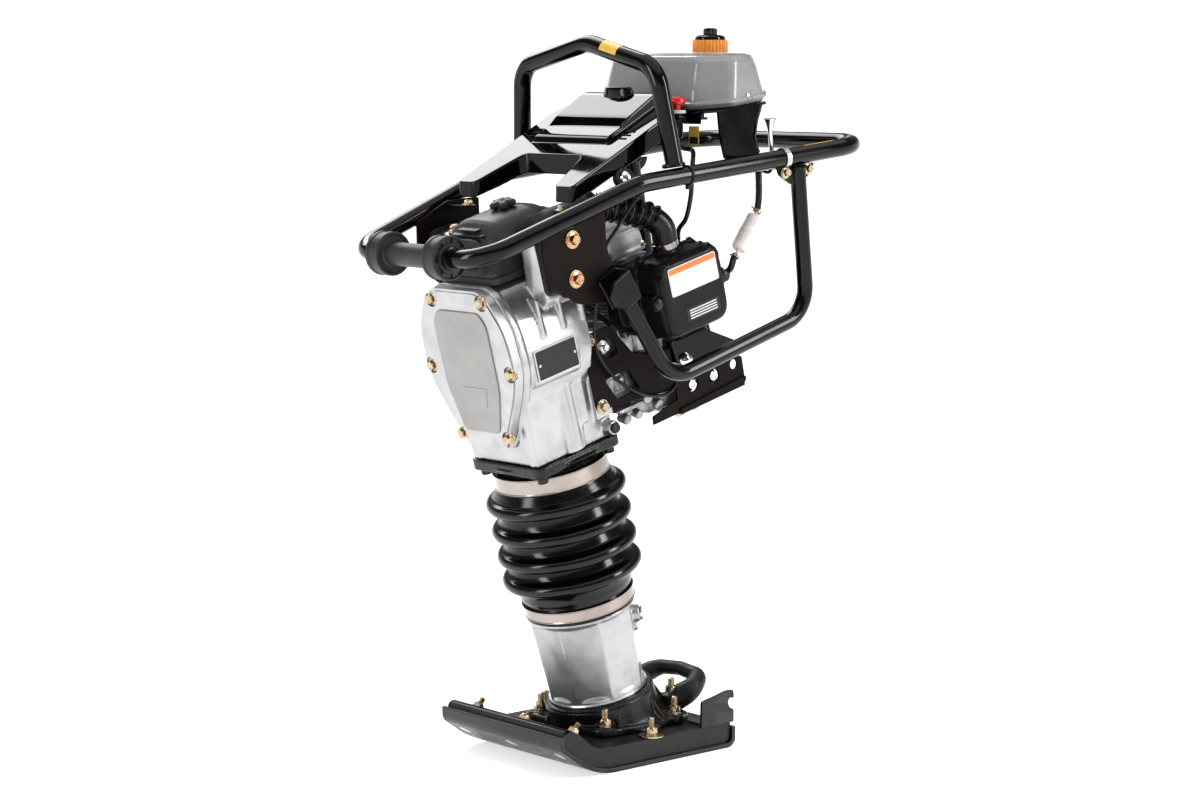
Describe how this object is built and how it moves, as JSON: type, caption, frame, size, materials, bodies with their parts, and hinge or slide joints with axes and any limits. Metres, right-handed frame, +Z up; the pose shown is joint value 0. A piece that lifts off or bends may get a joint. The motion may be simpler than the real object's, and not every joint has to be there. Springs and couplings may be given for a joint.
{
  "type": "jumping jack rammer",
  "caption": "Upright soil tamping rammer: a shoe on a sprung leg under rubber bellows, a leaning crankcase and petrol engine, and a looped operator's handle frame with a rear fuel tank.",
  "frame": {"origin": "on the ground, where the leaning axis of the leg meets the sole's flat ground face", "axes": "+Z up, -Y the travel direction (gear cover and roller), +Y the operator's side (rear bar and tank), +X the air box side"},
  "size_m": [0.414, 0.7787, 1.101],
  "materials": {
    "cast_aluminium": "fine cast and lacquered silver",
    "polished_steel": "polished band steel",
    "bare_steel": "machined and oiled",
    "spring_steel": "shot-peened spring steel",
    "gloss_black_paint": "gloss black powder coat",
    "satin_black_paint": "satin black",
    "cast_black_paint": "gloss black over a rough casting",
    "shoe_grey_paint": "satin dark grey",
    "shoe_board": "dark grey lacquered laminate",
    "bellows_rubber": "glossy moulded rubber",
    "mount_rubber": "matte rubber",
    "dark_plastic": "satin moulded plastic",
    "valve_cover_grey": "light grey moulded cover",
    "flywheel_aluminium": "as cast",
    "tank_grey": "glossy moulded grey",
    "cap_orange": "moulded orange",
    "button_red": "moulded red",
    "hose_rubber": "satin black hose",
    "filter_clear": "milky translucent plastic"
  },
  "bodies": {
    "upper": {"crankcase": "cast_aluminium", "gear_cover": "cast_aluminium", "crankcase_flange": "satin_black_paint", "guide_cylinder": "bare_steel", "clamp_upper": "polished_steel", "precleaner_base": "dark_plastic", "precleaner_cover": "dark_plastic", "engine_block": "cast_aluminium", "cylinder": "cast_aluminium", "valve_cover": "valve_cover_grey", "recoil_cover": "dark_plastic", "muffler": "satin_black_paint", "carburettor": "flywheel_aluminium", "air_box_base": "dark_plastic", "air_box_cover": "dark_plastic", "intake_hose": "bellows_rubber", "engine_bracket_right": "satin_black_paint", "engine_bracket_left": "satin_black_paint", "engine_cradle": "satin_black_paint", "rubber_mount_right": "mount_rubber", "rubber_mount_left": "mount_rubber"},
    "foot": {"sole_plate": "shoe_grey_paint", "shoe_board": "shoe_board", "foot_flange": "cast_black_paint", "rear_loop": "mount_rubber", "hook_bracket": "shoe_grey_paint", "leg": "cast_aluminium", "spring_lower": "spring_steel", "spring_upper": "spring_steel", "bellows": "bellows_rubber", "clamp_lower": "polished_steel"},
    "percussion_rod": {"piston_rod": "bare_steel", "spring_piston": "bare_steel"},
    "crank": {"crank_gear": "bare_steel"},
    "connecting_rod": {"connecting_rod": "bare_steel"},
    "clutch_drum": {"clutch_drum": "bare_steel"},
    "engine_shaft": {"engine_shaft": "bare_steel", "flywheel": "flywheel_aluminium"},
    "recoil_pulley": {"recoil_pulley": "dark_plastic"},
    "starter_handle": {"starter_handle": "mount_rubber"},
    "wing_knob": {"wing_knob": "mount_rubber"},
    "handle": {"side_plate_right": "satin_black_paint", "side_plate_left": "satin_black_paint", "handle_loop": "gloss_black_paint", "handle_hoop": "gloss_black_paint", "guard_right": "gloss_black_paint", "guard_left": "gloss_black_paint", "cowl": "gloss_black_paint", "tank_frame": "gloss_black_paint", "fuel_tank": "tank_grey", "throttle_bracket": "bare_steel", "fuel_hose_upper": "hose_rubber", "fuel_filter": "filter_clear", "fuel_hose_lower": "hose_rubber", "switch_cable": "hose_rubber", "throttle_cable": "hose_rubber"},
    "front_roller": {"front_roller": "dark_plastic"},
    "fuel_cap": {"fuel_cap": "cap_orange"},
    "stop_button": {"stop_button": "button_red"},
    "throttle_lever": {"throttle_lever": "bare_steel"}
  },
  "joints": [
    {"name": "ram_stroke", "type": "slide", "parent": "upper", "child": "foot", "axis": [0, -0.2588, 0.9659], "range_m": [-0.035, 0.03], "stiffness_N_per_m": 30000, "springref_m": -0.019, "deforming": ["bellows", "spring_lower", "spring_upper"]},
    {"name": "percussion_stroke", "type": "slide", "parent": "upper", "child": "percussion_rod", "axis": [0, -0.2588, 0.9659], "range_m": [-0.044, 0], "deforming": ["spring_lower", "spring_upper"]},
    {"name": "crank_turn", "type": "hinge", "parent": "upper", "child": "crank", "pos_m": [0, -0.17211, 0.64234], "axis": [0, 0.9659, 0.2588], "continuous": true},
    {"name": "connecting_rod_turn", "type": "hinge", "parent": "crank", "child": "connecting_rod", "pos_m": [0, -0.17781, 0.66359], "axis": [0, 0.9659, 0.2588], "continuous": true},
    {"name": "clutch_drum_turn", "type": "hinge", "parent": "upper", "child": "clutch_drum", "pos_m": [0, -0.14882, 0.55541], "axis": [0, 0.9659, 0.2588], "continuous": true},
    {"name": "engine_turn", "type": "hinge", "parent": "upper", "child": "engine_shaft", "pos_m": [0, 0.04436, 0.60717], "axis": [0, 0.9659, 0.2588], "continuous": true},
    {"name": "starter_pull", "type": "slide", "parent": "upper", "child": "starter_handle", "axis": [0, 0.9659, 0.2588], "range_m": [0, 0.5], "stiffness_N_per_m": 30, "springref_m": -0.4},
    {"name": "recoil_pulley_turn", "type": "hinge", "parent": "upper", "child": "recoil_pulley", "pos_m": [0, 0.12937, 0.62995], "axis": [0, 0.9659, 0.2588], "range_deg": [0, 760]},
    {"name": "wing_knob_turn", "type": "hinge", "parent": "upper", "child": "wing_knob", "pos_m": [0, -0.20965, 0.84037], "axis": [0, -0.2588, 0.9659], "continuous": true},
    {"name": "handle_rock", "type": "hinge", "parent": "upper", "child": "handle", "pos_m": [0, -0.19403, 0.76277], "axis": [1, 0, 0], "range_deg": [-2.5, 2.5], "stiffness_Nm_per_rad": 2500, "springref_deg": 0.69, "deforming": ["fuel_hose_lower", "switch_cable", "throttle_cable"]},
    {"name": "front_roller_turn", "type": "hinge", "parent": "handle", "child": "front_roller", "pos_m": [0, -0.371, 0.774], "axis": [1, 0, 0], "continuous": true},
    {"name": "fuel_cap_turn", "type": "hinge", "parent": "handle", "child": "fuel_cap", "pos_m": [0.05, 0.16, 1.07], "axis": [0, 0, 1], "range_deg": [0, 540]},
    {"name": "stop_button_press", "type": "slide", "parent": "handle", "child": "stop_button", "axis": [0, 0, 1], "range_m": [-0.006, 0], "stiffness_N_per_m": 400, "springref_m": 0.004},
    {"name": "throttle_turn", "type": "hinge", "parent": "handle", "child": "throttle_lever", "pos_m": [0.165, 0.181, 0.906], "axis": [1, 0, 0], "range_deg": [-60, 0]}
  ],
  "couplings": [
    {"joint": "connecting_rod_turn", "follows": "crank_turn", "ratio": -1},
    {"joint": "clutch_drum_turn", "follows": "crank_turn", "ratio": -5},
    {"joint": "recoil_pulley_turn", "follows": "starter_pull", "rad_per_m": 26}
  ]
}
